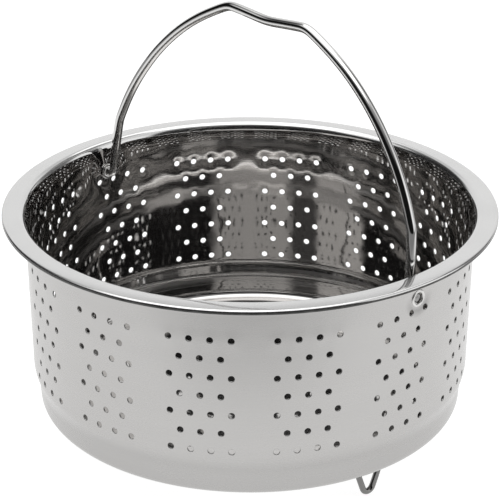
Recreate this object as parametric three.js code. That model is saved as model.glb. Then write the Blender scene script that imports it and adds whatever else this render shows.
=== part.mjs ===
// Steamer basket with a swinging wire bail: a deep-drawn perforated bowl with a flat
// rim flange, a bent wire handle in two wall eyelets, and three welded wire feet.
// Millimetres, +Z up. Origin: on the bowl's axis, in the plane the feet stand on.
// The pivot axis of the bail lies along X.
import * as THREE from 'three';

// ---------- driving dimensions ----------
const FOOT_HEIGHT = 16.1;          // floor to underside of the base
const BODY_HEIGHT = 101.9;         // underside of the base to top of the flange
const SHEET = 0.7;                 // sheet thickness of the pressing
const RIM_R = 120.0;               // outer radius of the flange
const LIP_DROP = 1.7;              // height of the flange's turned-down edge
const LIP_R = 1.0;                 // radius over that edge

const RIM_Z = FOOT_HEIGHT + BODY_HEIGHT;
const TOP_ROW_Z = RIM_Z - 20.5;    // first row of perforations
const WALL_R = 108.86;             // outer radius of the wall at the first row
const WALL_DRAFT = 0.0142;         // radius lost per mm going down
const FLARE_Z = RIM_Z - 8.5;       // where the wall starts to lean out under the flange
const FLARE_SLOPE = 0.2035;        // how far it leans out where the bend starts
const RIM_BEND = 3.28;             // radius over the bend from wall to flange, on the inside
const LEAN = Math.atan(WALL_DRAFT + FLARE_SLOPE);
const BEND_Z = RIM_Z - RIM_BEND * (1 - Math.sin(LEAN));

const GROUPS = 14;                 // groups of perforations around the wall
const GROUP_OFFSET = -5.0;         // degrees, group centre beside the +X pivot
const COLUMN_PITCH = 5.0;          // degrees between holes in a row
const ROW_PITCH = 9.4;
const ROWS = 7;                    // rows alternate four holes and three holes
const HOLE_D = 3.0;
const HOLE_SIDES = 6;

const SHOULDER_Z = TOP_ROW_Z - 58.9;   // where the wall turns in
const SHOULDER_H = 12.0;
const SHOULDER_IN = 2.42;
const LOWER_DRAFT = 0.055;
const BASE_BEND = 5.2;             // outer radius between the lower band and the base

const PIVOT_Z = TOP_ROW_Z + 5.7;
const PIVOT_HOLE_R = 3.6;
const DISH_DEPTH = 1.25;           // the wall is pressed in round each pivot
const DISH_R = 7.0;
const EYELET_TUBE_R = 3.0;
const EYELET_BORE_R = 2.75;
const EYELET_HEAD_R = 4.0;
const EYELET_HEAD_T = 0.6;
const EYELET_TAIL_R = 4.1;
const EYELET_TAIL_T = 0.8;

const BAIL_WIRE = 4.8;
const BAIL_LEAN = 6.2;             // degrees from upright towards +Y at rest
const BAIL_LEG_X = 102.0;          // half distance between the upright legs
const BAIL_LEG_BEND = 3.2;         // centreline radius from leg to pivot end
const BAIL_END_X = 107.5;          // where the pivot end stops, inside the eyelet

const FOOT_WIRE = 3.0;
const FOOT_R = 94.7;               // radius of the circle the feet stand on
const FOOT_ANGLES = [-8.5, 111.5, 231.5];
const FOOT_HALF_SPREAD = 6.5;      // half distance between the legs at the base
const FOOT_TAIL = 13.0;            // length of each leg's welded tail
const GAP = 0.3;                   // between pieces that touch

const SEGMENTS = 36;               // facets around plain rings
const TAU = Math.PI * 2;
const rad = (d) => d * Math.PI / 180;

// ---------- small mesh helper ----------
class Body {
  constructor() { this.p = []; this.t = []; }
  v(x, y, z) { this.p.push(x, y, z); return this.p.length / 3 - 1; }
  tri(a, b, c) { this.t.push(a, b, c); }
  geometry() {
    const g = new THREE.BufferGeometry();
    g.setAttribute('position', new THREE.Float32BufferAttribute(this.p, 3));
    g.setIndex(this.t);
    const flat = g.toNonIndexed();
    flat.computeVertexNormals();
    return flat;
  }
}

// ---------- bowl ----------
const flare = (z) => 0.5 * FLARE_SLOPE / (BEND_Z - FLARE_Z) * Math.max(z - FLARE_Z, 0) ** 2;
const wallR = (z) => WALL_R + WALL_DRAFT * (z - TOP_ROW_Z) + flare(z);
const dish = (a, z) => [0, Math.PI].reduce((sum, c) => {
  const d = a - c - TAU * Math.round((a - c) / TAU);
  return sum - DISH_DEPTH * Math.exp(-((WALL_R * d) ** 2 + (z - PIVOT_Z) ** 2) / DISH_R ** 2);
}, 0);

function bowl() {
  const b = new Body();
  const plain = Array.from({ length: SEGMENTS }, (_, k) => k * TAU / SEGMENTS);
  // between the holes of a four-hole row
  const between = [];
  for (let g = 0; g < GROUPS; g++) {
    for (let h = -2; h <= 2; h++) between.push((rad(GROUP_OFFSET + g * 360 / GROUPS + h * COLUMN_PITCH) + TAU) % TAU);
  }
  between.sort((p, q) => p - q);
  // A loop is a list of {a: angle, z: height, i: vertex}, ordered by angle.
  const ring = (r, z, angles = plain) => angles.map((a) => ({ a, z, i: b.v(r * Math.cos(a), r * Math.sin(a), z) }));

  // Facets between two loops, the first one coming first along the profile. Of all the ways to
  // join them facet by facet without folding over, this takes the one with the shortest joins.
  function zip(A, B, flip) {
    const n = A.length, m = B.length;
    const flat = (q) => [WALL_R * q.a, q.z];
    const span = (p, q) => (p[0] - q[0]) ** 2 + (p[1] - q[1]) ** 2;
    const cross = (o, p, q) => (p[0] - o[0]) * (q[1] - o[1]) - (p[1] - o[1]) * (q[0] - o[0]);
    let j0 = 0, near = Infinity;
    for (let j = 0; j < m; j++) {
      let d = B[j].a - A[0].a;
      d -= TAU * Math.round(d / TAU);
      const s = (WALL_R * d) ** 2 + (A[0].z - B[j].z) ** 2;
      if (s < near) { near = s; j0 = j; }
    }
    const shift = -TAU * Math.round((B[j0].a - A[0].a) / TAU);
    const Bs = [...B.slice(j0), ...B.slice(0, j0).map((q) => ({ ...q, a: q.a + TAU }))].map((q) => ({ ...q, a: q.a + shift }));
    const LA = [...A, { ...A[0], a: A[0].a + TAU }], LB = [...Bs, { ...Bs[0], a: Bs[0].a + TAU }];
    const PA = LA.map(flat), PB = LB.map(flat);
    const w = m + 1, cost = new Float64Array((n + 1) * w).fill(Infinity), from = new Uint8Array((n + 1) * w);
    cost[0] = 0;
    for (let i = 0; i <= n; i++) {
      for (let j = 0; j <= m; j++) {
        const c = cost[i * w + j];
        if (c === Infinity) continue;
        if (i < n && cross(PA[i], PB[j], PA[i + 1]) > 1e-3) {
          const d = c + span(PA[i + 1], PB[j]);
          if (d < cost[(i + 1) * w + j]) { cost[(i + 1) * w + j] = d; from[(i + 1) * w + j] = 1; }
        }
        if (j < m && cross(PA[i], PB[j], PB[j + 1]) > 1e-3) {
          const d = c + span(PA[i], PB[j + 1]);
          if (d < cost[i * w + j + 1]) { cost[i * w + j + 1] = d; from[i * w + j + 1] = 2; }
        }
      }
    }
    const put = (x, y, z) => (flip ? b.tri(x, z, y) : b.tri(x, y, z));
    let i = n, j = m;
    while (i > 0 || j > 0) {
      if (from[i * w + j] === 1) { put(LA[i - 1].i, LB[j].i, LA[i].i); i--; }
      else { put(LA[i].i, LB[j - 1].i, LB[j].i); j--; }
    }
  }

  // One perforated row: upper and lower edge loops through every hole, plus the holes' own rims.
  const holeR = (HOLE_D / 2) * Math.sqrt(TAU / (HOLE_SIDES * Math.sin(TAU / HOLE_SIDES)));
  function row(z, centres, r, sides, extras, inset) {
    const items = centres.map((c) => ({ a: c, hole: true }))
      .concat(extras.map((a) => ({ a, hole: false })))
      .sort((p, q) => p.a - q.a);
    const upper = [], lower = [], rims = [];
    for (const it of items) {
      if (!it.hole) {
        const R = wallR(z) + dish(it.a, z) - inset;
        const q = { a: it.a, z, i: b.v(R * Math.cos(it.a), R * Math.sin(it.a), z) };
        upper.push(q); lower.push(q);
        continue;
      }
      const rim = [];
      for (let k = 0; k < sides; k++) {
        const w = k * TAU / sides;
        const hz = z + r * Math.sin(w);
        const a = it.a + Math.asin(r * Math.cos(w) / WALL_R);
        const R = wallR(hz) + dish(a, hz) - inset;
        rim.push({ a, z: hz, i: b.v(R * Math.cos(a), R * Math.sin(a), hz) });
      }
      rims.push(rim);
      const half = sides / 2;
      for (let k = half; k >= 0; k--) upper.push(rim[k]);
      for (let k = half; k <= sides; k++) lower.push(rim[k % sides]);
    }
    return { upper, lower, rims };
  }

  const groupAngle = (g) => rad(GROUP_OFFSET + g * 360 / GROUPS);
  function wallBand(inset, top, bottom, flip) {
    const rims = [];
    // pivot row: a plain ring with the two pivot holes in it
    let prev = top;
    const clear = between.filter((a) => Math.min(Math.abs(a), Math.abs(a - Math.PI), Math.abs(a - TAU)) > rad(3));
    const pivot = row(PIVOT_Z, [0, Math.PI], PIVOT_HOLE_R, 8, clear, inset);
    zip(prev, wrap(pivot.upper), flip);
    prev = wrap(pivot.lower);
    rims.push(...pivot.rims);
    for (let k = 0; k < ROWS; k++) {
      const count = k % 2 === 0 ? 4 : 3;
      const centres = [], extras = [];
      for (let g = 0; g < GROUPS; g++) {
        const c = groupAngle(g);
        for (let h = 0; h < count; h++) centres.push(c + rad((h - (count - 1) / 2) * COLUMN_PITCH));
        const mid = c + Math.PI / GROUPS;
        if (count === 4) extras.push(mid);
        else extras.push(mid - rad(2.6), mid + rad(2.6));
      }
      const line = row(TOP_ROW_Z - k * ROW_PITCH, centres, holeR, HOLE_SIDES, extras, inset);
      zip(prev, wrap(line.upper), flip);
      prev = wrap(line.lower);
      rims.push(...line.rims);
    }
    zip(prev, bottom, flip);
    return rims;
  }
  // keep every loop's angles within one turn, starting from the smallest
  function wrap(L) {
    const k = L.findIndex((q) => q.a >= 0);
    return [...L.slice(k), ...L.slice(0, k).map((q) => ({ ...q, a: q.a + TAU }))];
  }

  // profile above the wall: from the flange's top edge down the outside, and inwards on top
  const edge = ring(RIM_R - LIP_R, RIM_Z);
  const at = (z, inset) => [wallR(z) - inset, z];
  const chain = (start, list, flip) => {
    let prev = start;
    for (const [r, z] of list) {
      const next = ring(r, z);
      if (prev.length === SEGMENTS) zipRing(prev, next, flip); else zip(prev, next, flip);
      prev = next;
    }
    return prev;
  };
  function zipRing(A, B, flip) {
    for (let k = 0; k < SEGMENTS; k++) {
      const n = (k + 1) % SEGMENTS;
      const q = [A[k].i, B[k].i, B[n].i, A[n].i];
      if (flip) { b.tri(q[0], q[2], q[1]); b.tri(q[0], q[3], q[2]); }
      else { b.tri(q[0], q[1], q[2]); b.tri(q[0], q[2], q[3]); }
    }
  }
  const midR = wallR(BEND_Z) - SHEET + RIM_BEND * Math.cos(LEAN), midZ = RIM_Z - RIM_BEND;
  const bend = (radius) => [Math.PI / 2, rad(50), LEAN].map((w) => [midR - radius * Math.cos(w), midZ + radius * Math.sin(w)]);
  const outTop = chain(edge, [
    [RIM_R - 0.29 * LIP_R, RIM_Z - 0.29 * LIP_R], [RIM_R, RIM_Z - LIP_R], [RIM_R, RIM_Z - LIP_DROP],
    [RIM_R - SHEET, RIM_Z - LIP_DROP], [RIM_R - SHEET, RIM_Z - SHEET], ...bend(RIM_BEND - SHEET), at(FLARE_Z, 0),
  ], false);
  const inTop = chain(edge, [...bend(RIM_BEND), at(FLARE_Z, SHEET)], true);

  // profile below the wall
  const r1 = wallR(SHOULDER_Z);
  const ease = (t) => t * t * (3 - 2 * t);
  const z2 = SHOULDER_Z - SHOULDER_H, r2 = r1 - SHOULDER_IN;
  const z3 = FOOT_HEIGHT + BASE_BEND, r3 = r2 - LOWER_DRAFT * (z2 - z3);
  const lower = (inset) => {
    const list = [1 / 3, 2 / 3, 1].map((t) => [r1 - SHOULDER_IN * ease(t) - inset, SHOULDER_Z - SHOULDER_H * t]);
    const rb = BASE_BEND - inset;
    for (const d of [0, 45, 90]) list.push([r3 - BASE_BEND + rb * Math.cos(rad(d)), z3 - rb * Math.sin(rad(d))]);
    return list;
  };
  const outMid = ring(r1, SHOULDER_Z, between), inMid = ring(r1 - SHEET, SHOULDER_Z, between);
  const rimsOut = wallBand(0, outTop, outMid, false);
  const rimsIn = wallBand(SHEET, inTop, inMid, true);
  for (let k = 0; k < rimsOut.length; k++) {
    const o = rimsOut[k], n = rimsIn[k], s = o.length;
    for (let q = 0; q < s; q++) {
      const w = (q + 1) % s;
      b.tri(o[q].i, o[w].i, n[w].i);
      b.tri(o[q].i, n[w].i, n[q].i);
    }
  }
  const outBase = chain(outMid, lower(0), false);
  const inBase = chain(inMid, lower(SHEET), true);
  const poleOut = b.v(0, 0, FOOT_HEIGHT), poleIn = b.v(0, 0, FOOT_HEIGHT + SHEET);
  for (let k = 0; k < SEGMENTS; k++) {
    const n = (k + 1) % SEGMENTS;
    b.tri(outBase[k].i, poleOut, outBase[n].i);
    b.tri(inBase[k].i, inBase[n].i, poleIn);
  }
  return b.geometry();
}

// ---------- round wire along a line of points, with flat ends ----------
// The section keeps its turn from point "start", where one of its corners points along "up".
function wire(points, diameter, sides, up, start) {
  const b = new Body();
  const P = points, n = P.length;
  const tangents = P.map((p, k) => {
    const d0 = p.clone().sub(P[Math.max(k - 1, 0)]), d1 = P[Math.min(k + 1, n - 1)].clone().sub(p);
    if (k === 0) return d1.normalize();
    if (k === n - 1) return d0.normalize();
    return d0.normalize().add(d1.normalize()).normalize();
  });
  const normals = [];
  normals[start] = up.clone().addScaledVector(tangents[start], -up.dot(tangents[start])).normalize();
  const carry = (k, to) => {
    const q = new THREE.Quaternion().setFromUnitVectors(tangents[k], tangents[to]);
    normals[to] = normals[k].clone().applyQuaternion(q);
    normals[to].addScaledVector(tangents[to], -normals[to].dot(tangents[to])).normalize();
  };
  for (let k = start; k + 1 < n; k++) carry(k, k + 1);
  for (let k = start; k > 0; k--) carry(k, k - 1);
  const loops = P.map((p, k) => {
    const side = new THREE.Vector3().crossVectors(tangents[k], normals[k]);
    return Array.from({ length: sides }, (_, s) => {
      const w = s * TAU / sides;
      const v = p.clone().addScaledVector(normals[k], Math.cos(w) * diameter / 2).addScaledVector(side, Math.sin(w) * diameter / 2);
      return b.v(v.x, v.y, v.z);
    });
  });
  for (let k = 0; k + 1 < n; k++) {
    for (let s = 0; s < sides; s++) {
      const w = (s + 1) % sides;
      b.tri(loops[k][s], loops[k][w], loops[k + 1][w]);
      b.tri(loops[k][s], loops[k + 1][w], loops[k + 1][s]);
    }
  }
  const c0 = b.v(P[0].x, P[0].y, P[0].z), c1 = b.v(P[n - 1].x, P[n - 1].y, P[n - 1].z);
  for (let s = 0; s < sides; s++) {
    const w = (s + 1) % sides;
    b.tri(c0, loops[0][w], loops[0][s]);
    b.tri(c1, loops[n - 1][s], loops[n - 1][w]);
  }
  return b.geometry();
}

// Points of a polyline whose corners are rounded: each entry is [x, z, radius, steps].
function rounded(list) {
  const out = [];
  list.forEach(([x, z, r = 0, steps = 3], k) => {
    const p = new THREE.Vector2(x, z);
    if (!r || k === 0 || k === list.length - 1) { out.push(p); return; }
    const a = new THREE.Vector2(list[k - 1][0], list[k - 1][1]).sub(p).normalize();
    const c = new THREE.Vector2(list[k + 1][0], list[k + 1][1]).sub(p).normalize();
    const half = Math.acos(THREE.MathUtils.clamp(a.dot(c), -1, 1)) / 2;
    const cut = r / Math.tan(half);
    const centre = p.clone().addScaledVector(a.clone().add(c).normalize(), r / Math.sin(half));
    const s = p.clone().addScaledVector(a, cut).sub(centre), e = p.clone().addScaledVector(c, cut).sub(centre);
    const a0 = Math.atan2(s.y, s.x);
    let sweep = Math.atan2(e.y, e.x) - a0;
    if (sweep > Math.PI) sweep -= TAU;
    if (sweep < -Math.PI) sweep += TAU;
    for (let q = 0; q <= steps; q++) {
      const w = a0 + sweep * q / steps;
      out.push(new THREE.Vector2(centre.x + r * Math.cos(w), centre.y + r * Math.sin(w)));
    }
  });
  return out;
}

// ---------- bail ----------
// Half outline in the bail's own plane, from the pivot end up to the middle:
// distance from the middle, height over the pivot axis.
const BAIL_HALF = [
  [101.6, 13.0], [100.6, 23.3], [99.75, 29.4], [98.8, 32.4], [94.4, 42.6], [89.3, 52.0], [83.2, 61.2],
  [74.6, 72.0], [64.6, 82.0], [54.6, 90.1], [44.6, 96.6], [34.9, 101.8], [28.6, 104.75], [26.2, 105.55], [23.6, 105.95],
  [20.6, 105.85], [12.0, 105.15], [4.0, 104.45], [0, 104.3],
];
function bail() {
  const end = rounded([[BAIL_END_X, 0], [BAIL_LEG_X, 0, BAIL_LEG_BEND, 4], [BAIL_LEG_X, 12]]).slice(0, -1)
    .map((p) => [p.x, p.y]);
  const half = [...end, ...BAIL_HALF];
  const full = [...half, ...half.slice(0, -1).reverse().map(([x, z]) => [-x, z])];
  return wire(full.map(([x, z]) => new THREE.Vector3(x, 0, z)), BAIL_WIRE, 12, new THREE.Vector3(0, 1, 0), 0);
}

// ---------- eyelet: tube through the wall, a rolled head outside and a clenched tail inside ----------
function eyelet() {
  const wallAt = (r) => wallR(PIVOT_Z) + dish(r / WALL_R, PIVOT_Z);
  const headIn = wallAt(EYELET_HEAD_R) + 0.25 + GAP, tailIn = wallAt(PIVOT_HOLE_R) - SHEET - 0.1 - GAP;
  const prof = [
    [EYELET_BORE_R, tailIn - EYELET_TAIL_T], [EYELET_TAIL_R - 0.25, tailIn - EYELET_TAIL_T], [EYELET_TAIL_R, tailIn - 0.25], [EYELET_TAIL_R, tailIn],
    [EYELET_TUBE_R, tailIn], [EYELET_TUBE_R, headIn], [EYELET_HEAD_R, headIn], [EYELET_HEAD_R, headIn + 0.35],
    [EYELET_HEAD_R - 0.5, headIn + EYELET_HEAD_T - 0.1], [EYELET_HEAD_R - 0.95, headIn + EYELET_HEAD_T], [EYELET_BORE_R, headIn + EYELET_HEAD_T - 0.4],
  ];
  const pts = [...prof, prof[0]].map(([r, h]) => new THREE.Vector2(r, h));
  return new THREE.LatheGeometry(pts, 16);
}

// ---------- foot: a bent wire loop with two tails along the underside of the base ----------
function foot() {
  const top = FOOT_HEIGHT - GAP - FOOT_WIRE / 2, low = FOOT_WIRE / 2;
  const v = (t, r, z) => new THREE.Vector3(r, t, z);
  const s = FOOT_HALF_SPREAD;
  // in the loop's own plane: straight legs running into a small round tip
  const loop = rounded([[s, top], [0, low - 2.2, 3.0, 6], [-s, top]]);
  const lift = low - Math.min(...loop.map((p) => p.y));
  const pts = [];
  pts.push(v(s + 0.2, FOOT_R - 2.6 - FOOT_TAIL, top), v(s + 0.2, FOOT_R - 2.6, top), v(s + 0.05, FOOT_R - 0.9, top - 0.55));
  for (const p of loop.slice(1, -1)) pts.push(v(p.x, FOOT_R, p.y + lift));
  pts.push(v(-s - 0.05, FOOT_R - 0.9, top - 0.55), v(-s - 0.2, FOOT_R - 2.6, top), v(-s - 0.2, FOOT_R - 2.6 - FOOT_TAIL, top));
  // short straight of each leg below the bend at its top
  pts.splice(3, 0, v(s - 0.45, FOOT_R, top - 2.3));
  pts.splice(pts.length - 3, 0, v(-s + 0.45, FOOT_R, top - 2.3));
  return wire(pts, FOOT_WIRE, 8, new THREE.Vector3(0, 0, 1), (pts.length - 1) / 2);
}

// ---------- assembly ----------
const steel = (color, roughness) => new THREE.MeshStandardMaterial({ color, roughness, metalness: 1 });
function piece(name, geometry, material) {
  const m = new THREE.Mesh(geometry, material);
  m.name = name;
  return m;
}

const basket = new THREE.Group();
basket.add(piece('basket_shell', bowl(), steel(0xc4c4c4, 0.3)));

const handle = new THREE.Group();
handle.position.set(0, 0, PIVOT_Z);
handle.rotation.x = -rad(BAIL_LEAN);
handle.add(piece('bail_handle', bail(), steel(0xb9b9b9, 0.12)));
basket.add(handle);

for (const [name, turn] of [['pivot_eyelet_right', 0], ['pivot_eyelet_left', Math.PI]]) {
  const g = new THREE.Group();
  g.position.z = PIVOT_Z;
  g.rotation.z = turn;
  const m = piece(name, eyelet(), steel(0xc8c8c8, 0.22));
  m.rotation.z = -Math.PI / 2;
  g.add(m);
  basket.add(g);
}

['foot_front', 'foot_back_right', 'foot_back_left'].forEach((name, k) => {
  const g = new THREE.Group();
  g.rotation.z = rad(FOOT_ANGLES[k]);
  g.add(piece(name, foot(), steel(0xa8a8a8, 0.18)));
  basket.add(g);
});

export default basket;
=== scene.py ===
"""Looks of a steamer basket: a perforated pressed bowl with a flat rim flange, a swinging wire
bail in two wall eyelets, and three bent wire feet. Dimensions below are in millimetres."""

import math

import bpy
import numpy as np
from mathutils import Matrix, Vector


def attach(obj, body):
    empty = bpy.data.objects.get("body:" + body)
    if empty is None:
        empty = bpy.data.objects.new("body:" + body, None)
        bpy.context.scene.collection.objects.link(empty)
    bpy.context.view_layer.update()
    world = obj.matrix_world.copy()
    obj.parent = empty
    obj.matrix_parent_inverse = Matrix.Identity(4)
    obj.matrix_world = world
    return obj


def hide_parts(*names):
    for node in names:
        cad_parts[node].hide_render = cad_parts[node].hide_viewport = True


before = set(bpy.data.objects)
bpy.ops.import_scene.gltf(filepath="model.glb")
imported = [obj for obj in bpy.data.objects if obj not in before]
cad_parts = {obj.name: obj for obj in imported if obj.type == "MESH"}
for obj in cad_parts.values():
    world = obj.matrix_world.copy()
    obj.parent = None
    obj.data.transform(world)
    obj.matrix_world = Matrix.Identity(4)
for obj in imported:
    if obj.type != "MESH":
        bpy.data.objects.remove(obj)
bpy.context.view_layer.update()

MM = 0.001
TAU = 2 * math.pi

# ---------------------------------------------------------------- dimensions
FOOT_HEIGHT = 16.1
RIM_Z = 118.0
SHEET = 0.7
RIM_R = 119.97
RIM_BEND = 3.28                   # over the bend, on the inside
RIM_CROWN = math.radians(5)       # slope of the flange at its outer edge, growing from nothing at the bend
LIP_R, LIP_DROP = 1.2, 2.3        # turned-down edge of the flange
TOP_ROW_Z = 97.5
WALL_R = 108.86
WALL_DRAFT = 0.0142
FLARE_Z, FLARE_SLOPE = 109.5, 0.2035    # the wall leans out under the flange
GROUPS = 14
GROUP_OFFSET = -5.0
COLUMN_PITCH = 5.0
ROW_PITCH = 9.4
ROWS = 7
HOLE_R = 1.5
SHOULDER_Z = 39.2                 # where the wall turns in
SHOULDER_H = 12.4
SHOULDER_IN = 2.42
SHOULDER_EASE = 0.37              # part of that height over which the slope grows
LOWER_DRAFT = 0.055
BASE_BEND = 5.2
BASE_CROWN = 0.3                  # the base is very slightly domed
PIVOT_Z = 103.2
PIVOT_HOLE_R = 3.3
BAIL_WIRE = 4.76
BAIL_LEAN = math.radians(6.2)
BAIL_LEG_X = 102.0
BAIL_END_X = 107.5
FOOT_WIRE = 3.0
FOOT_R = 94.7
FOOT_ANGLES = (-8.5, 111.5, 231.5)
FOOT_SPREAD = 6.5
FOOT_TAIL = 13.0


LEAN = math.atan(WALL_DRAFT + FLARE_SLOPE)          # of the wall where the bend starts
BEND_Z = RIM_Z - RIM_BEND * (1 - math.sin(LEAN))


def shoulder(z):
    """How far the wall has turned in at a height."""
    t = np.clip((SHOULDER_Z - z) / SHOULDER_H, 0, 1)
    q, m = SHOULDER_EASE, 1 / (1 - SHOULDER_EASE)
    return SHOULDER_IN * np.where(t < q, 0.5 * m * t * t / q, np.where(t > 1 - q, 1 - 0.5 * m * (1 - t) ** 2 / q, m * (t - q / 2)))


def wall_r(z):
    rise = np.maximum(z - FLARE_Z, 0)
    straight = WALL_R + WALL_DRAFT * (np.maximum(z, SHOULDER_Z) - TOP_ROW_Z)
    return straight + 0.5 * FLARE_SLOPE / (BEND_Z - FLARE_Z) * rise ** 2 - shoulder(z)


# ---------------------------------------------------------------- materials
def new_material(name):
    m = bpy.data.materials.new(name)
    m.use_nodes = True
    nt = m.node_tree
    return m, nt, nt.nodes["Principled BSDF"]


def node(nt, kind, **values):
    n = nt.nodes.new(kind)
    for key, value in values.items():
        if key in n.inputs:
            n.inputs[key].default_value = value
        else:
            setattr(n, key, value)
    return n


def scaled_noise(nt, scale, detail=3.0, rough=0.5, scale_one=1.0):
    """Noise over the object's own coordinates, stretched by the three factors (per metre)."""
    tc = node(nt, "ShaderNodeTexCoord")
    mp = node(nt, "ShaderNodeMapping")
    mp.inputs["Scale"].default_value = scale
    nz = node(nt, "ShaderNodeTexNoise", Scale=scale_one, Detail=detail, Roughness=rough)
    nt.links.new(tc.outputs["Object"], mp.inputs["Vector"])
    nt.links.new(mp.outputs["Vector"], nz.inputs["Vector"])
    return nz.outputs["Fac"]


def ramp(nt, value, lo, hi, out_lo, out_hi):
    n = node(nt, "ShaderNodeMapRange")
    n.inputs["From Min"].default_value = lo
    n.inputs["From Max"].default_value = hi
    n.inputs["To Min"].default_value = out_lo
    n.inputs["To Max"].default_value = out_hi
    nt.links.new(value, n.inputs["Value"])
    return n.outputs["Result"]


def maths(nt, op, a, b):
    n = node(nt, "ShaderNodeMath", operation=op)
    for k, v in enumerate((a, b)):
        if isinstance(v, (int, float)):
            n.inputs[k].default_value = v
        else:
            nt.links.new(v, n.inputs[k])
    return n.outputs[0]


def tint(nt, fac, dark, light):
    n = node(nt, "ShaderNodeMix", data_type="RGBA")
    sockets = [s for s in n.inputs if s.name in ("A", "B") and s.type == "RGBA"]
    sockets[0].default_value = (*dark, 1)
    sockets[1].default_value = (*light, 1)
    nt.links.new(fac, n.inputs["Factor"])
    return [s for s in n.outputs if s.type == "RGBA"][0]


def bump(nt, bsdf, height, strength, distance, before=None):
    n = node(nt, "ShaderNodeBump", Strength=strength, Distance=distance)
    nt.links.new(height, n.inputs["Height"])
    if before is not None:
        nt.links.new(before, n.inputs["Normal"])
    nt.links.new(n.outputs["Normal"], bsdf.inputs["Normal"])
    return n.outputs["Normal"]


def metal(bsdf, roughness, anisotropy=0.0):
    bsdf.inputs["Metallic"].default_value = 1.0
    bsdf.inputs["Roughness"].default_value = roughness
    bsdf.inputs["Anisotropic"].default_value = anisotropy


def brushed_outside():
    """Satin outside: fine lines running round the wall, slightly uneven, faint handling marks, and painted shade low
    on the wall and round each pivot dish.
    """
    m, nt, b = new_material("satin_outside")
    metal(b, 0.30, 0.55)
    tg = node(nt, "ShaderNodeTangent", direction_type="RADIAL", axis="Z")
    nt.links.new(tg.outputs["Tangent"], b.inputs["Tangent"])
    lines = scaled_noise(nt, (34, 34, 1900), detail=4.0, rough=0.65)
    broad = scaled_noise(nt, (9, 9, 130), detail=2.0)
    cloud = scaled_noise(nt, (28, 28, 28), detail=3.0)
    mix = maths(nt, "ADD", maths(nt, "MULTIPLY", lines, 0.6), maths(nt, "MULTIPLY", broad, 0.4))
    colour = tint(nt, ramp(nt, mix, 0.35, 0.65, 0.0, 1.0), (0.457, 0.4505, 0.443), (0.473, 0.4665, 0.459))
    # painted shade: the colour is a little darker below the place where the wall turns in
    place = node(nt, "ShaderNodeSeparateXYZ")
    nt.links.new(node(nt, "ShaderNodeTexCoord").outputs["Object"], place.inputs[0])
    shade = node(nt, "ShaderNodeVectorMath", operation="SCALE")
    nt.links.new(colour, shade.inputs[0])
    painted_low_shade = ramp(nt, place.outputs["Z"], 0.031, 0.0355, 0.92, 1.0)
    # and painted shade in a ring round the pressed dish under each pivot, strongest on its lower side
    fold = node(nt, "ShaderNodeVectorMath", operation="ABSOLUTE")
    nt.links.new(node(nt, "ShaderNodeTexCoord").outputs["Object"], fold.inputs[0])
    away = node(nt, "ShaderNodeVectorMath", operation="DISTANCE")
    nt.links.new(fold.outputs["Vector"], away.inputs[0])
    away.inputs[1].default_value = (0.1085, 0.0, PIVOT_Z * MM)
    ring = maths(nt, "MULTIPLY", ramp(nt, away.outputs["Value"], 0.004, 0.0058, 0.0, 1.0), ramp(nt, away.outputs["Value"], 0.0062, 0.0095, 1.0, 0.0))
    ring = maths(nt, "MULTIPLY", ring, ramp(nt, place.outputs["Z"], 0.0985, 0.1055, 0.3, 0.0))
    nt.links.new(maths(nt, "MULTIPLY", painted_low_shade, maths(nt, "SUBTRACT", 1.0, ring)), shade.inputs["Scale"])
    nt.links.new(shade.outputs["Vector"], b.inputs["Base Color"])
    r = maths(nt, "ADD", ramp(nt, lines, 0.3, 0.7, 0.25, 0.29), ramp(nt, cloud, 0.35, 0.7, -0.02, 0.03))
    nt.links.new(r, b.inputs["Roughness"])
    bump(nt, b, lines, 0.012, 0.0002)
    return m


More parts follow.
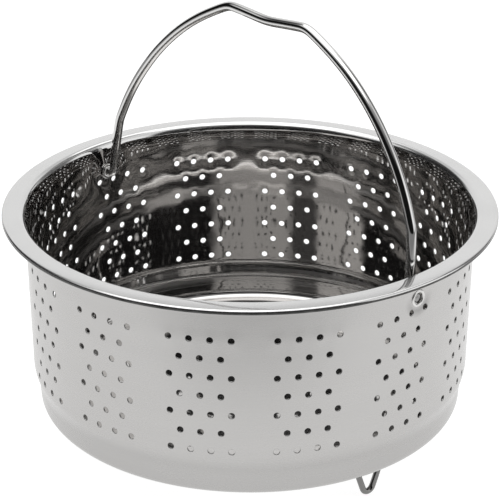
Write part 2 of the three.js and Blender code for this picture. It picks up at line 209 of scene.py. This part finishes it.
def mirror_inside():
    """Bright inside: polished, with the slight waviness of drawn sheet and a faint haze."""
    m, nt, b = new_material("polished_inside")
    metal(b, 0.07)
    wave = scaled_noise(nt, (75, 75, 60), detail=1.5)
    lines = scaled_noise(nt, (30, 30, 1500), detail=3.0)
    cloud = scaled_noise(nt, (24, 24, 24), detail=3.0)
    nt.links.new(tint(nt, ramp(nt, cloud, 0.3, 0.7, 0.0, 1.0), (0.545, 0.535, 0.525), (0.575, 0.564, 0.553)), b.inputs["Base Color"])
    r = maths(nt, "ADD", ramp(nt, cloud, 0.35, 0.7, 0.02, 0.045), ramp(nt, lines, 0.3, 0.7, 0.0, 0.015))
    nt.links.new(r, b.inputs["Roughness"])
    n = bump(nt, b, wave, 0.14, 0.0004)
    n = bump(nt, b, lines, 0.03, 0.0001, before=n)
    # turning marks, rings on the base that die out on the way up the wall
    rings = node(nt, "ShaderNodeTexWave", wave_type="RINGS", rings_direction="Z", Scale=62.0, Distortion=2.2, Detail=2.0)
    nt.links.new(node(nt, "ShaderNodeTexCoord").outputs["Object"], rings.inputs["Vector"])
    place = node(nt, "ShaderNodeSeparateXYZ")
    nt.links.new(node(nt, "ShaderNodeTexCoord").outputs["Object"], place.inputs[0])
    low = ramp(nt, place.outputs["Z"], 0.022, 0.030, 1.0, 0.0)
    bump(nt, b, maths(nt, "MULTIPLY", rings.outputs["Fac"], low), 0.04, 0.0002, before=n)
    # thin haze over the polish, in rings where the wall turns in and faint elsewhere
    bands = scaled_noise(nt, (6, 6, 520), detail=2.0)
    turned = maths(nt, "MULTIPLY", ramp(nt, place.outputs["Z"], 0.031, 0.041, 0.24, 0.0), ramp(nt, place.outputs["Z"], 0.0215, 0.0255, 0.12, 1.0))
    turned = maths(nt, "MULTIPLY", turned, ramp(nt, bands, 0.4, 0.6, 0.3, 1.6))
    amount = maths(nt, "ADD", turned, ramp(nt, cloud, 0.3, 0.7, 0.0, 0.006))
    haze = node(nt, "ShaderNodeBsdfPrincipled")
    metal(haze, 0.5)
    haze.inputs["Base Color"].default_value = (0.55, 0.54, 0.53, 1)
    mix = node(nt, "ShaderNodeMixShader")
    nt.links.new(amount, mix.inputs[0])
    nt.links.new(b.outputs["BSDF"], mix.inputs[1])
    nt.links.new(haze.outputs["BSDF"], mix.inputs[2])
    nt.links.new(mix.outputs["Shader"], nt.nodes["Material Output"].inputs["Surface"])
    return m


def mirror_flange():
    """Rim flange: polished flat with light circular scuffs and soft smudges."""
    m, nt, b = new_material("polished_rim")
    metal(b, 0.10)
    cloud = scaled_noise(nt, (40, 40, 40), detail=4.0)
    fine = scaled_noise(nt, (420, 420, 420), detail=3.0)
    nt.links.new(tint(nt, ramp(nt, cloud, 0.35, 0.65, 0.0, 1.0), (0.6, 0.598, 0.595), (0.63, 0.628, 0.625)), b.inputs["Base Color"])
    r = maths(nt, "ADD", ramp(nt, cloud, 0.35, 0.7, 0.035, 0.07), ramp(nt, fine, 0.45, 0.75, 0.0, 0.03))
    nt.links.new(r, b.inputs["Roughness"])
    bump(nt, b, cloud, 0.05, 0.0004)
    # worn to a slight satin
    worn = node(nt, "ShaderNodeBsdfPrincipled")
    metal(worn, 0.45)
    worn.inputs["Base Color"].default_value = (0.62, 0.618, 0.615, 1)
    mix = node(nt, "ShaderNodeMixShader")
    nt.links.new(ramp(nt, cloud, 0.3, 0.7, 0.15, 0.2), mix.inputs[0])
    nt.links.new(b.outputs["BSDF"], mix.inputs[1])
    nt.links.new(worn.outputs["BSDF"], mix.inputs[2])
    nt.links.new(mix.outputs["Shader"], nt.nodes["Material Output"].inputs["Surface"])
    return m


def shaded_cut_edge():
    """Sheared sheet edge and hole walls: rough sheared metal, darker in colour as painted shade inside the holes."""
    m, nt, b = new_material("shaded_cut_edge")
    metal(b, 0.3)
    fine = scaled_noise(nt, (900, 900, 900), detail=3.0)
    nt.links.new(tint(nt, ramp(nt, fine, 0.3, 0.7, 0.0, 1.0), (0.24, 0.238, 0.234), (0.36, 0.357, 0.352)), b.inputs["Base Color"])
    nt.links.new(ramp(nt, fine, 0.3, 0.7, 0.22, 0.4), b.inputs["Roughness"])
    bump(nt, b, fine, 0.15, 0.0002)
    return m


def wire_finish(name, dark, light, rough_lo, rough_hi, stretch):
    """Polished drawn wire: fine lengthwise unevenness and small scuffs between the given dark and light colours; the
    flange's edge, the bail's ends and the feet get darkened colours, painted shade.
    """
    m, nt, b = new_material(name)
    metal(b, 0.12)
    cloud = scaled_noise(nt, stretch, detail=3.0)
    fine = scaled_noise(nt, (700, 700, 700), detail=4.0, rough=0.6)
    nt.links.new(tint(nt, ramp(nt, cloud, 0.3, 0.7, 0.0, 1.0), dark, light), b.inputs["Base Color"])
    r = maths(nt, "ADD", ramp(nt, cloud, 0.3, 0.7, rough_lo, rough_hi), ramp(nt, fine, 0.5, 0.8, 0.0, 0.04))
    nt.links.new(r, b.inputs["Roughness"])
    bump(nt, b, cloud, 0.08, 0.0003)
    return m


OUTSIDE, INSIDE, RIM, EDGE = brushed_outside(), mirror_inside(), mirror_flange(), shaded_cut_edge()
# painted shade: the flange's turned-down edge is near black, for the shaded gap under the lip
LIP = wire_finish("lip_edge_painted_shade", (0.05, 0.05, 0.049), (0.11, 0.109, 0.107), 0.25, 0.4, (200, 200, 200))
WIRE = wire_finish("polished_wire", (0.56, 0.556, 0.55), (0.62, 0.616, 0.61), 0.045, 0.075, (60, 60, 60))
# painted shade: the bail's cut ends, sunk in the eyelet bores, are much darker than the wire
WIRE_END = wire_finish("wire_end_painted_shade", (0.14, 0.139, 0.137), (0.42, 0.416, 0.41), 0.2, 0.4, (420, 420, 420))
# painted shade: the feet are much darker than the other wire, for the shade under the basket they stand in
SHADED_FOOT_WIRE = wire_finish("foot_wire", (0.155, 0.153, 0.15), (0.215, 0.212, 0.208), 0.09, 0.15, (90, 90, 90))
EYELET = wire_finish("eyelet_steel", (0.56, 0.555, 0.545), (0.66, 0.655, 0.645), 0.14, 0.24, (180, 180, 180))


# ---------------------------------------------------------------- mesh helpers
def make_object(name, verts, faces, materials, face_materials=None, sharp=38):
    me = bpy.data.meshes.new(name)
    me.from_pydata([tuple(float(c) * MM for c in v) for v in verts], [], faces)
    for m in materials:
        me.materials.append(m)
    if face_materials is not None:
        me.polygons.foreach_set("material_index", np.asarray(face_materials, np.int32))
    me.polygons.foreach_set("use_smooth", np.ones(len(me.polygons), bool))
    me.set_sharp_from_angle(angle=math.radians(sharp))
    me.update()
    ob = bpy.data.objects.new(name, me)
    bpy.context.scene.collection.objects.link(ob)
    return ob


def lathe(profile, count):
    """Closed profile of (radius, height) turned round the height axis. Vertices, faces."""
    n = len(profile)
    verts = [(r * math.cos(TAU * k / count), r * math.sin(TAU * k / count), h) for k in range(count) for r, h in profile]
    faces = []
    for k in range(count):
        q = (k + 1) % count
        for i in range(n):
            j = (i + 1) % n
            faces.append((k * n + i, q * n + i, q * n + j, k * n + j))
    return verts, faces


def smooth_path(points, step):
    """Catmull-Rom curve through the points, sampled about every step."""
    p = [np.array(q, float) for q in points]
    p = [2 * p[0] - p[1]] + p + [2 * p[-1] - p[-2]]
    out = []
    for k in range(1, len(p) - 2):
        a, b, c, d = p[k - 1:k + 3]
        t0, t1 = 0.0, np.linalg.norm(b - a) ** 0.5
        t2 = t1 + np.linalg.norm(c - b) ** 0.5
        t3 = t2 + np.linalg.norm(d - c) ** 0.5
        n = max(1, int(round(np.linalg.norm(c - b) / step)))
        for i in range(n):
            t = t1 + (t2 - t1) * i / n
            a1 = (t1 - t) / (t1 - t0) * a + (t - t0) / (t1 - t0) * b
            a2 = (t2 - t) / (t2 - t1) * b + (t - t1) / (t2 - t1) * c
            a3 = (t3 - t) / (t3 - t2) * c + (t - t2) / (t3 - t2) * d
            b1 = (t2 - t) / (t2 - t0) * a1 + (t - t0) / (t2 - t0) * a2
            b2 = (t3 - t) / (t3 - t1) * a2 + (t - t1) / (t3 - t1) * a3
            out.append((t2 - t) / (t2 - t1) * b1 + (t - t1) / (t2 - t1) * b2)
    out.append(p[-2])
    return out


def tube(path, radius, sides, chamfer):
    """Round wire along a path, with small chamfers at its flat ends. Vertices, faces."""
    path = [np.array(p, float) for p in path]
    n = len(path)
    tang = []
    for k in range(n):
        t = path[min(k + 1, n - 1)] - path[max(k - 1, 0)]
        tang.append(t / np.linalg.norm(t))
    ref = np.array((0.0, 1.0, 0.0)) if abs(tang[0][1]) < 0.9 else np.array((0.0, 0.0, 1.0))
    rings = [(path[0], tang[0], radius - chamfer), (path[0] + tang[0] * chamfer, tang[0], radius)]
    rings += [(path[k], tang[k], radius) for k in range(1, n - 1)]
    rings += [(path[-1] - tang[-1] * chamfer, tang[-1], radius), (path[-1], tang[-1], radius - chamfer)]
    verts, faces = [], []
    u = ref - tang[0] * ref.dot(tang[0])
    for c, t, r in rings:
        u = u - t * u.dot(t)
        u = u / np.linalg.norm(u)
        w = np.cross(t, u)
        for s in range(sides):
            a = TAU * s / sides
            verts.append(c + r * (math.cos(a) * u + math.sin(a) * w))
    for k in range(len(rings) - 1):
        for s in range(sides):
            q = (s + 1) % sides
            faces.append((k * sides + s, k * sides + q, (k + 1) * sides + q, (k + 1) * sides + s))
    last = (len(rings) - 1) * sides
    faces.append(tuple(range(sides - 1, -1, -1)))
    faces.append(tuple(last + s for s in range(sides)))
    return verts, faces


# ---------------------------------------------------------------- bowl
STEP = 0.625                      # degrees between grid columns inside a group
GAP_STEPS = 9
PER_GROUP = 32 + GAP_STEPS
COLUMNS = GROUPS * PER_GROUP


def column_angles():
    out = []
    period = 360.0 / GROUPS
    for g in range(GROUPS):
        c = GROUP_OFFSET + g * period
        out += [c - 10 + STEP * k for k in range(33)]
        gap = period - 20
        out += [c + 10 + gap * k / GAP_STEPS for k in range(1, GAP_STEPS)]
    return np.radians(np.array(out))


THETA = column_angles()


def hole_list():
    """(angle in radians, height, column where its cell starts, row index) of every perforation."""
    out = []
    for row in range(ROWS):
        count = 4 if row % 2 == 0 else 3
        for g in range(GROUPS):
            for h in range(count):
                local = (h - (count - 1) / 2) * COLUMN_PITCH
                start = g * PER_GROUP + int(round((local - 2.5 + 10) / STEP))
                out.append((math.radians(GROUP_OFFSET + g * 360 / GROUPS + local), TOP_ROW_Z - row * ROW_PITCH, start, row))
    return out


HOLES = hole_list()
HOLE_A = np.array([h[0] for h in HOLES])
HOLE_Z = np.array([h[1] for h in HOLES])
HOLE_TOP = np.array([h[3] == 0 for h in HOLES])
DIMPLE, DIMPLE_TOP, DIMPLE_S = 0.035, 0.14, 4.0
DISH, DISH_S = -1.25, 7.0


def dent(theta, z):
    """Radial offset of the wall: shallow dimples round the punched holes and a dish round each pivot."""
    theta, z = np.atleast_1d(theta), np.atleast_1d(z)
    out = np.zeros(len(theta))
    for k in range(0, len(theta), 4000):
        t, h = theta[k:k + 4000, None], z[k:k + 4000, None]
        d = (t - HOLE_A[None] + math.pi) % TAU - math.pi
        d2 = (WALL_R * d) ** 2 + (h - HOLE_Z[None]) ** 2
        amp = np.where(HOLE_TOP, DIMPLE_TOP, DIMPLE)[None]
        out[k:k + 4000] = (amp * np.exp(-d2 / DIMPLE_S ** 2)).sum(1)
    for c in (0.0, math.pi):
        d = (theta - c + math.pi) % TAU - math.pi
        d2 = (WALL_R * d) ** 2 + (z - PIVOT_Z) ** 2
        out += DISH * np.exp(-d2 / DISH_S ** 2)
    return out


def build_bowl():
    verts, faces, mats = [], [], []

    def add(points):
        k = len(verts)
        verts.extend(points)
        return list(range(k, k + len(points)))

    def ring(r, z):
        return add([(r * math.cos(t), r * math.sin(t), z) for t in THETA])

    def wall_points(theta, z, inset, depth=0.0):
        theta, z = np.asarray(theta), np.asarray(z)
        r = wall_r(z) + dent(theta, z) - inset + depth
        return list(zip(r * np.cos(theta), r * np.sin(theta), z))

    def join(a, b, mat, skip=None):
        """Facets from ring a to ring b, a coming first along the section."""
        for j in range(COLUMNS):
            if skip is not None and j in skip:
                continue
            q = (j + 1) % COLUMNS
            faces.append((a[j], b[j], b[q], a[q]))
            mats.append(mat)

    # section below the wall, from the last grid line to the middle of the base
    z2 = SHOULDER_Z - SHOULDER_H
    r2 = float(wall_r(z2))
    lean = math.atan(LOWER_DRAFT)
    z3 = FOOT_HEIGHT + BASE_BEND
    r3 = r2 - LOWER_DRAFT * (z2 - z3) - BASE_BEND / math.cos(lean)

    def low_section(inset, start):
        out = [(float(wall_r(z)) - inset, z) for z in np.linspace(start, z2, 25)[1:]]
        rb = BASE_BEND - inset
        first = (r3 + rb * math.cos(lean), z3 - rb * math.sin(lean))
        out += [(r2 - inset + (first[0] - r2 + inset) * t, z2 + (first[1] - z2) * t) for t in (0.33, 0.67)]
        for d in np.linspace(math.degrees(lean), 90, 13):
            out.append((r3 + rb * math.cos(math.radians(d)), z3 - rb * math.sin(math.radians(d))))
        flat = out[-1][1]
        out += [(r3 * k, flat + BASE_CROWN * (1 - k * k)) for k in (0.96, 0.9, 0.8, 0.7, 0.6, 0.5, 0.4, 0.3, 0.2, 0.1)]
        return out

    # section above the wall: bend, flange, turned-down edge, and back under the flange
    mid_z = RIM_Z - RIM_BEND
    mid_r = wall_r(BEND_Z) - SHEET + RIM_BEND * math.cos(LEAN)

    def arc(cr, cz, radius, from_deg, to_deg, count):
        return [(cr + radius * math.cos(math.radians(d)), cz + radius * math.sin(math.radians(d))) for d in np.linspace(from_deg, to_deg, count)]

    tilt = math.degrees(LEAN)
    lip_r = RIM_R - LIP_R
    width = lip_r + LIP_R * math.sin(RIM_CROWN) - mid_r
    fall = lambda r: 0.5 * math.tan(RIM_CROWN) / width * (r - mid_r) ** 2
    lip_z = RIM_Z - fall(mid_r + width) - LIP_R * math.cos(RIM_CROWN)
    flat = np.linspace(mid_r, mid_r + width, 10)[1:-1]
    top = arc(mid_r, mid_z, RIM_BEND, 180 - tilt, 90, 17) + [(r, RIM_Z - fall(r)) for r in flat]
    roll = arc(lip_r, lip_z, LIP_R, 90 - math.degrees(RIM_CROWN), 0, 11)
    top += roll[:-2]
    low = RIM_Z - LIP_DROP
    edge = roll[-2:] + [(RIM_R, low + 0.3), (RIM_R - 0.08, low + 0.12), (RIM_R - 0.35, low), (RIM_R - SHEET + 0.08, low + 0.12), (RIM_R - SHEET, low + 0.3)]
    under = arc(lip_r, lip_z, LIP_R - SHEET, 0, 90 - math.degrees(RIM_CROWN), 6) + [(r, RIM_Z - SHEET - fall(r)) for r in flat[::-1]]
    under += arc(mid_r, mid_z, RIM_BEND - SHEET, 90, 180 - tilt, 12)

    # grid heights of the perforated wall
    pivot_lo, pivot_hi = 99.45, 106.95
    rows_z = list(np.linspace(BEND_Z - 0.05, pivot_hi, 13)) + list(np.linspace(pivot_hi, pivot_lo, 9))[1:]
    edges = [pivot_lo] + [TOP_ROW_Z - ROW_PITCH * (k + 0.5) for k in range(ROWS)]
    for a, b in zip(edges[:-1], edges[1:]):
        rows_z += list(np.linspace(a, b, 9))[1:]
    rows_z = np.array(rows_z)
    first = 12 + 8                             # grid line where the top row's cells start
    cells = [(start, first + 8 * row, a, z, HOLE_R) for a, z, start, row in HOLES]
    for g in (0, GROUPS // 2):
        centre = math.radians(GROUP_OFFSET + g * 360 / GROUPS + 5.0)
        cells.append((g * PER_GROUP + 20, 12, centre, PIVOT_Z, PIVOT_HOLE_R))

    def wall(inset, mat, outward):
        """Perforated wall, top to bottom. Returns its first and last rings and the holes' lips."""
        inside_cell = {}
        for start, line, *_ in cells:
            for i in range(8):
                inside_cell.setdefault(line + i, set()).update(range(start, start + 8))
        grid = np.full((len(rows_z), COLUMNS), -1)
        for i, z in enumerate(rows_z):
            keep = [j for j in range(COLUMNS)
                    if not (j in inside_cell.get(i, ()) and j - 1 in inside_cell.get(i, ())
                            and j in inside_cell.get(i - 1, ()) and j - 1 in inside_cell.get(i - 1, ()))
                    or on_border(i, j)]
            ids = add(wall_points(THETA[keep], np.full(len(keep), z), inset))
            grid[i, keep] = ids
        for i in range(len(rows_z) - 1):
            skip = inside_cell.get(i, set())
            for j in range(COLUMNS):
                if j in skip:
                    continue
                q = (j + 1) % COLUMNS
                f = (grid[i, j], grid[i + 1, j], grid[i + 1, q], grid[i, q])
                faces.append(f if outward else f[::-1])
                mats.append(mat)
        lips = []
        for start, line, a, z, radius in cells:
            loop = [(line, start + k) for k in range(8)] + [(line + k, start + 8) for k in range(8)]
            loop += [(line + 8, start + 8 - k) for k in range(8)] + [(line + 8 - k, start) for k in range(8)]
            th = np.array([THETA[j % COLUMNS] for _, j in loop])
            th = a + ((th - a + math.pi) % TAU - math.pi)
            hz = np.array([rows_z[i] for i, _ in loop])
            du, dv = th - a, hz - z
            u = np.where(du > 0, du / du.max(), du / -du.min())
            v = np.where(dv > 0, dv / dv.max(), dv / -dv.min())
            phi = np.arctan2(v, u)
            big = wall_r(z)
            circle = lambda r: (a + r * np.cos(phi) / big, z + r * np.sin(phi))
            prev = [grid[i, j % COLUMNS] for i, j in loop]
            near = circle(radius + 0.28)
            plan = [(0.45, 0.0, mat), (0.8, 0.0, mat), (1.0, 0.0, mat)]
            sets = [((1 - s) * th + s * near[0], (1 - s) * hz + s * near[1], d, m) for s, d, m in plan]
            c = circle(radius + 0.13)
            sets.append((c[0], c[1], 0.0, mat))
            # the chamfer and the hole wall take the darkened cut-edge colour, painted shade in the hole
            c = circle(radius + 0.03)
            sets.append((c[0], c[1], 0.06, 3))
            c = circle(radius)
            sets.append((c[0], c[1], 0.16, 3))
            for pt, pz, depth, m in sets:
                ids = add(wall_points(pt, pz, inset, -depth if outward else depth))
                for k in range(32):
                    q = (k + 1) % 32
                    f = (prev[k], ids[k], ids[q], prev[q])
                    faces.append(f if outward else f[::-1])
                    mats.append(m)
                prev = ids
            lips.append(prev)
        return list(grid[0]), list(grid[-1]), lips

    border = set()
    for start, line, *_ in cells:
        for k in range(9):
            border.update({(line, (start + k) % COLUMNS), (line + 8, (start + k) % COLUMNS),
                           (line + k, start % COLUMNS), (line + k, (start + 8) % COLUMNS)})

    def on_border(i, j):
        return (i, j) in border

    in_top, in_low, in_lips = wall(SHEET, 1, False)
    out_top, out_low, out_lips = wall(0.0, 0, True)
    for o, n in zip(out_lips, in_lips):
        for k in range(32):
            q = (k + 1) % 32
            faces.append((o[k], n[k], n[q], o[q]))
            mats.append(3)

    # inside: wall foot down to the base
    prev = in_low
    for r, z in low_section(SHEET, rows_z[-1]):
        nxt = ring(r, z)
        join(nxt, prev, 1)
        prev = nxt
    faces.append(tuple(prev))
    mats.append(1)
    # inside wall top, over the bend and flange, round the near-black edge (painted shade), and down the outside
    prev = in_top
    for part, m in ((top, 2), (edge, 4), (under, 0)):
        for r, z in part:
            nxt = ring(r, z)
            join(prev, nxt, m)
            prev = nxt
    join(prev, out_top, 0)
    prev = out_low
    for r, z in low_section(0.0, rows_z[-1]):
        nxt = ring(r, z)
        join(prev, nxt, 0)
        prev = nxt
    faces.append(tuple(reversed(prev)))
    mats.append(0)
    return make_object("bowl", verts, faces, [OUTSIDE, INSIDE, RIM, EDGE, LIP], mats)


bowl = build_bowl()
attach(bowl, "basket")
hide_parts("basket_shell")

# ---------------------------------------------------------------- bail
BAIL_HALF = [
    (101.95, 6.5), (101.6, 13.0), (101.05, 19.0), (100.6, 23.3), (100.05, 27.5), (99.6, 30.0), (99.0, 31.9), (98.2, 33.9), (94.4, 42.6), (89.3, 52.0), (83.2, 61.2),
    (74.6, 72.0), (64.6, 82.0), (54.6, 90.1), (44.6, 96.6), (34.9, 101.8), (28.6, 104.75), (26.2, 105.55), (23.6, 105.95),
    (20.6, 105.85), (12.0, 105.15), (4.0, 104.45), (0.0, 104.3),
]


def build_bail():
    bend = 3.2
    end = [(BAIL_END_X, 0.0), (106.7, 0.0)]
    end += [(BAIL_LEG_X + bend - bend * math.sin(math.radians(d)), bend - bend * math.cos(math.radians(d))) for d in range(0, 91, 15)]
    half = [(x, 0.0, h) for x, h in end + BAIL_HALF]
    path = smooth_path(half + [(-x, 0.0, h) for x, _, h in reversed(half[:-1])], 1.6)
    c, s = math.cos(BAIL_LEAN), math.sin(BAIL_LEAN)
    path = [(x, h * s, PIVOT_Z + h * c) for x, _, h in path]
    v, f = tube(path, BAIL_WIRE / 2, 28, 0.6)
    # the end chamfers and caps take the darker end colour, painted shade in the eyelet bores
    ends = [int(k < 28 or k >= len(f) - 30) for k in range(len(f))]
    return make_object("bail", v, f, [WIRE, WIRE_END], ends)


bail = build_bail()
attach(bail, "bail")
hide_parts("bail_handle")


# ---------------------------------------------------------------- eyelets
def build_eyelet(name, sign):
    seat = wall_r(PIVOT_Z) + DISH + 0.1
    tail = seat - SHEET - 0.2
    prof = [(2.75, tail - 0.75), (3.0, tail - 0.88), (3.7, tail - 0.85), (4.0, tail - 0.6), (4.05, tail - 0.25), (3.9, tail),
            (3.05, tail + 0.05), (3.05, seat - 0.1), (4.05, seat - 0.1), (4.28, seat + 0.1)]
    mid, top = 3.5, seat + 0.75
    for d in np.linspace(10, 170, 11):
        w = math.radians(d)
        prof.append((mid + 0.76 * math.cos(w), top - 0.5 + 0.5 * math.sin(w)))
    prof += [(2.7, seat - 0.1), (2.72, seat - 0.7)]
    v, f = lathe(prof, 64)
    # the height axis becomes the radial axis of the pivot
    v = [(sign * h, sign * x, PIVOT_Z + y) for x, y, h in v]
    return make_object(name, v, f, [EYELET])


for label, sign in (("right", 1), ("left", -1)):
    ob = build_eyelet(f"eyelet_{label}", sign)
    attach(ob, "basket")
    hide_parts(f"pivot_eyelet_{label}")


# ---------------------------------------------------------------- feet
def build_foot(name, angle):
    top, low = FOOT_HEIGHT - FOOT_WIRE / 2 - 0.05, FOOT_WIRE / 2
    s = FOOT_SPREAD
    tip_r, corner = 3.0, low - 2.2
    # straight legs from (s, top) to the corner, rounded by a small tip
    leg = math.atan2(s, 13.7 - corner)
    drop = tip_r / math.sin(leg)
    centre = corner + drop
    lift = low - (centre - tip_r)
    half = [(s + 0.2, FOOT_R - 2.6 - FOOT_TAIL, top), (s + 0.2, FOOT_R - 8.0, top), (s + 0.2, FOOT_R - 2.9, top),
            (s + 0.1, FOOT_R - 1.2, top - 0.4), (s - 0.12, FOOT_R - 0.25, top - 1.4), (s - 0.5, FOOT_R, top - 2.6)]
    for d in np.linspace(90 - math.degrees(leg), 0, 7)[:-1]:
        w = math.radians(d)
        half.append((tip_r * math.sin(w), FOOT_R, centre + lift - tip_r * math.cos(w)))
    full = half + [(0.0, FOOT_R, low)] + [(-t, r, z) for t, r, z in reversed(half)]
    path = smooth_path(full, 0.9)
    c, n = math.cos(math.radians(angle)), math.sin(math.radians(angle))
    path = [(r * c - t * n, r * n + t * c, max(z, low)) for t, r, z in path]
    v, f = tube(path, FOOT_WIRE / 2, 24, 0.25)
    return make_object(name, v, f, [SHADED_FOOT_WIRE])


for label, angle in zip(("front", "back_right", "back_left"), FOOT_ANGLES):
    ob = build_foot(f"wire_foot_{label}", angle)
    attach(ob, "basket")
    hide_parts(f"foot_{label}")

# ---------------------------------------------------------------- floor
AZIMUTH, ELEVATION = math.radians(45.37), math.radians(24.342)
TOWARDS = Vector((math.sin(AZIMUTH), -math.cos(AZIMUTH), 0.0))

floor_mesh = bpy.data.meshes.new("floor")
side = 12.0
floor_mesh.from_pydata([(-side, -side, 0), (side, -side, 0), (side, side, 0), (-side, side, 0)], [], [(0, 1, 2, 3)])
floor = bpy.data.objects.new("floor", floor_mesh)
bpy.context.scene.collection.objects.link(floor)
fm, fnt, fb = new_material("pale_floor")
fb.inputs["Base Color"].default_value = (0.25, 0.25, 0.25, 1)
fb.inputs["Roughness"].default_value = 0.9
fb.inputs["Specular IOR Level"].default_value = 0.1
fb.inputs["Emission Color"].default_value = (1, 1, 1, 1)
fade = node(fnt, "ShaderNodeVectorMath", operation="LENGTH")
fnt.links.new(node(fnt, "ShaderNodeTexCoord").outputs["Object"], fade.inputs[0])
ahead = node(fnt, "ShaderNodeVectorMath", operation="DOT_PRODUCT")
ahead.inputs[1].default_value = TOWARDS
fnt.links.new(node(fnt, "ShaderNodeTexCoord").outputs["Object"], ahead.inputs[0])
# painted light: the floor glows, strongly out to about 0.8 m from the middle and fading beyond, and dimmer from 0.2 m
# out on the camera side
glow = maths(fnt, "MULTIPLY", ramp(fnt, fade.outputs["Value"], 0.78, 1.08, 0.93, 0.12), ramp(fnt, ahead.outputs["Value"], 0.2, 0.42, 1.0, 0.3))
fnt.links.new(glow, fb.inputs["Emission Strength"])
floor_mesh.materials.append(fm)

# ---------------------------------------------------------------- light
world = bpy.data.worlds.new("studio")
bpy.context.scene.world = world
world.use_nodes = True
wt = world.node_tree
bg = wt.nodes["Background"]
tc = node(wt, "ShaderNodeTexCoord")


def along(direction):
    n = node(wt, "ShaderNodeVectorMath", operation="DOT_PRODUCT")
    n.inputs[1].default_value = direction
    wt.links.new(tc.outputs["Generated"], n.inputs[0])
    return n.outputs["Value"]


def soft_step(value, lo, hi, out_lo=0.0, out_hi=1.0):
    n = node(wt, "ShaderNodeMapRange", interpolation_type="SMOOTHSTEP")
    for key, v in (("From Min", lo), ("From Max", hi), ("To Min", out_lo), ("To Max", out_hi)):
        n.inputs[key].default_value = v
    wt.links.new(value, n.inputs["Value"])
    return n.outputs["Result"]


def panel(value, lo, hi, soft, level):
    """A soft-edged light panel between two angles round the set."""
    up, down = soft_step(value, lo - soft, lo + soft), soft_step(value, hi - soft, hi + soft, 1.0, 0.0)
    return maths(wt, "MULTIPLY", maths(wt, "MULTIPLY", up, down), level)


RIGHT = Vector((-TOWARDS.y, TOWARDS.x, 0.0))
height = along((0, 0, 1))
# angle round the set in degrees, 0 behind the object and growing to the right
turn = maths(wt, "MULTIPLY", maths(wt, "ARCTAN2", along(RIGHT), maths(wt, "MULTIPLY", along(TOWARDS), -1.0)), 180 / math.pi)
walls = maths(wt, "ADD", panel(turn, -38, 43, 7, 1.05), panel(turn, 74, 126, 5, 1.3))
walls = maths(wt, "ADD", walls, panel(turn, 43, 74, 5, 0.15))
walls = maths(wt, "ADD", maths(wt, "MULTIPLY", walls, soft_step(height, 0.46, 0.58, 1.0, 0.72)), 0.01)
# a paler ceiling, a high box on the left, and the top of the back panel
walls = maths(wt, "MAXIMUM", walls, soft_step(height, 0.57, 0.85, 0.0, 0.42))
walls = maths(wt, "MAXIMUM", walls, maths(wt, "MULTIPLY", panel(turn, -124, -72, 8, 1.25), soft_step(height, 0.48, 0.70)))
walls = maths(wt, "MAXIMUM", walls, maths(wt, "MULTIPLY", panel(turn, -22, 46, 8, 1.9), soft_step(height, 0.65, 0.72)))
# the overhead light, a little to the left
lean = math.radians(6)
over = soft_step(along(Vector((0, 0, math.cos(lean))) - RIGHT * math.sin(lean)), math.cos(math.radians(33)), math.cos(math.radians(27)))
mixer = node(wt, "ShaderNodeMix", data_type="FLOAT")
wt.links.new(over, mixer.inputs["Factor"])
wt.links.new(walls, mixer.inputs["A"])
mixer.inputs["B"].default_value = 2.3
wt.links.new(mixer.outputs["Result"], bg.inputs["Strength"])
bg.inputs["Color"].default_value = (1, 1, 1, 1)

# ---------------------------------------------------------------- camera
cam = bpy.data.cameras.new("camera")
cam.sensor_fit = "HORIZONTAL"
cam.sensor_width = 36.0
cam.lens = 131.656
cam.clip_start, cam.clip_end = 0.05, 60.0
eye = bpy.data.objects.new("camera", cam)
bpy.context.scene.collection.objects.link(eye)
aim = Vector((0, 0, 0.09316))
back = Vector((TOWARDS.x * math.cos(ELEVATION), TOWARDS.y * math.cos(ELEVATION), math.sin(ELEVATION)))
eye.location = aim + back * 0.8988
look = (aim - eye.location).to_track_quat("-Z", "Y").to_matrix().to_4x4()
eye.matrix_world = Matrix.Translation(eye.location) @ look @ Matrix.Rotation(math.radians(0.07), 4, "Z")
bpy.context.scene.camera = eye
bpy.context.scene.view_settings.view_transform = "Standard"
bpy.context.scene.cycles.glossy_bounces = 10
